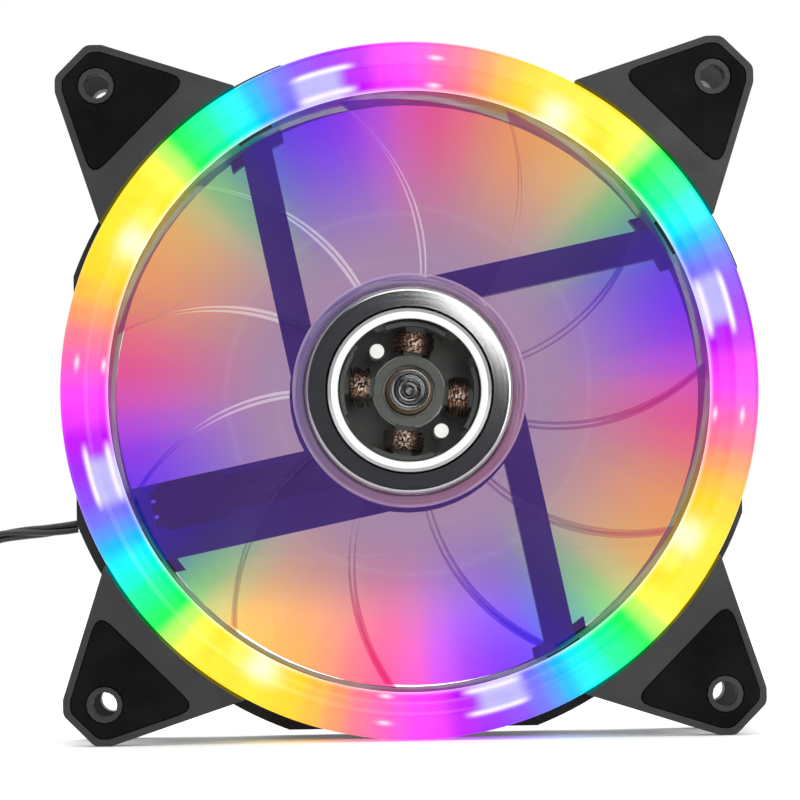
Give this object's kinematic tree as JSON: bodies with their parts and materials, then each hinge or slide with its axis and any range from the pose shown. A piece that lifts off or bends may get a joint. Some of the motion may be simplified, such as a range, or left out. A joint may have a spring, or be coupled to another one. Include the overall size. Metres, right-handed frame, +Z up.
{
  "type": "case fan",
  "caption": "Axial computer case fan with a rainbow-lit ring, a clear impeller on a brushless motor, corner ears with pads, and a cable that ends in a coil and connector.",
  "frame": {"origin": "on the surface that the fan stands on, under the middle of the frame, at half its depth", "axes": "+Z up; the impeller's axis runs along Y at z = 59.5 mm; the lit intake side faces -Y and the struts are on the +Y side; +X is to the right when the lit side is seen from the front"},
  "size_m": [0.1886, 0.034, 0.119],
  "materials": {
    "frame_plastic": "satin, fine moulded texture",
    "pad_rubber": "matte, lightly rough",
    "ring_diffuser": "frosted translucent, lit from behind in a rainbow",
    "board_white": "solder mask",
    "led_package": "lit surface-mount package",
    "wire_jacket": "soft PVC sheen",
    "black_plastic": "moulded",
    "stator_steel": "stacked laminations",
    "insulator_plastic": "moulded",
    "copper_winding": "enamelled wire",
    "pin_white": "moulded",
    "circuit_board": "solder mask",
    "brass": "turned",
    "sintered_bronze": "porous sintered",
    "seal_rubber": "smooth",
    "label_foil": "blank brushed foil film",
    "impeller_clear": "clear, lightly frosted",
    "yoke_steel": "polished",
    "magnet_rubber": "bonded ferrite",
    "shaft_steel": "ground",
    "spring_steel": "black oxide",
    "connector_plastic": "moulded",
    "tinned_terminal": "tin plated"
  },
  "bodies": {
    "housing": {"frame": "frame_plastic", "front_pad_1": "pad_rubber", "front_pad_2": "pad_rubber", "front_pad_3": "pad_rubber", "front_pad_4": "pad_rubber", "rear_pad_1": "pad_rubber", "rear_pad_2": "pad_rubber", "rear_pad_3": "pad_rubber", "rear_pad_4": "pad_rubber", "light_ring": "ring_diffuser", "led_board": "board_white", "led_1": "led_package", "led_2": "led_package", "led_3": "led_package", "led_4": "led_package", "led_5": "led_package", "led_6": "led_package", "led_7": "led_package", "led_8": "led_package", "led_9": "led_package", "led_10": "led_package", "led_11": "led_package", "led_12": "led_package", "led_13": "led_package", "led_14": "led_package", "led_15": "led_package", "led_16": "led_package", "led_lead": "wire_jacket", "stator_core": "stator_steel", "insulator_front": "insulator_plastic", "insulator_rear": "insulator_plastic", "coil_1": "copper_winding", "coil_2": "copper_winding", "coil_3": "copper_winding", "coil_4": "copper_winding", "insulator_pin_1": "pin_white", "insulator_pin_2": "pin_white", "motor_board": "circuit_board", "hall_sensor": "black_plastic", "bearing_tube": "brass", "sleeve_bearing": "sintered_bronze", "oil_seal": "seal_rubber", "end_cap": "black_plastic", "rear_label": "label_foil", "motor_lead": "wire_jacket", "wire_cover": "black_plastic", "cable": "wire_jacket", "cable_coil": "wire_jacket", "cable_tie": "black_plastic", "cable_tail": "wire_jacket", "connector_housing": "connector_plastic", "terminal_1": "tinned_terminal", "terminal_2": "tinned_terminal", "terminal_3": "tinned_terminal"},
    "rotor": {"impeller": "impeller_clear", "rotor_yoke": "yoke_steel", "ring_magnet": "magnet_rubber", "shaft": "shaft_steel", "shaft_bush": "shaft_steel", "retaining_clip": "spring_steel"}
  },
  "joints": [
    {"name": "fan_spin", "type": "hinge", "parent": "housing", "child": "rotor", "pos_m": [0, 0, 0.0595], "axis": [0, -1, 0], "continuous": true}
  ]
}
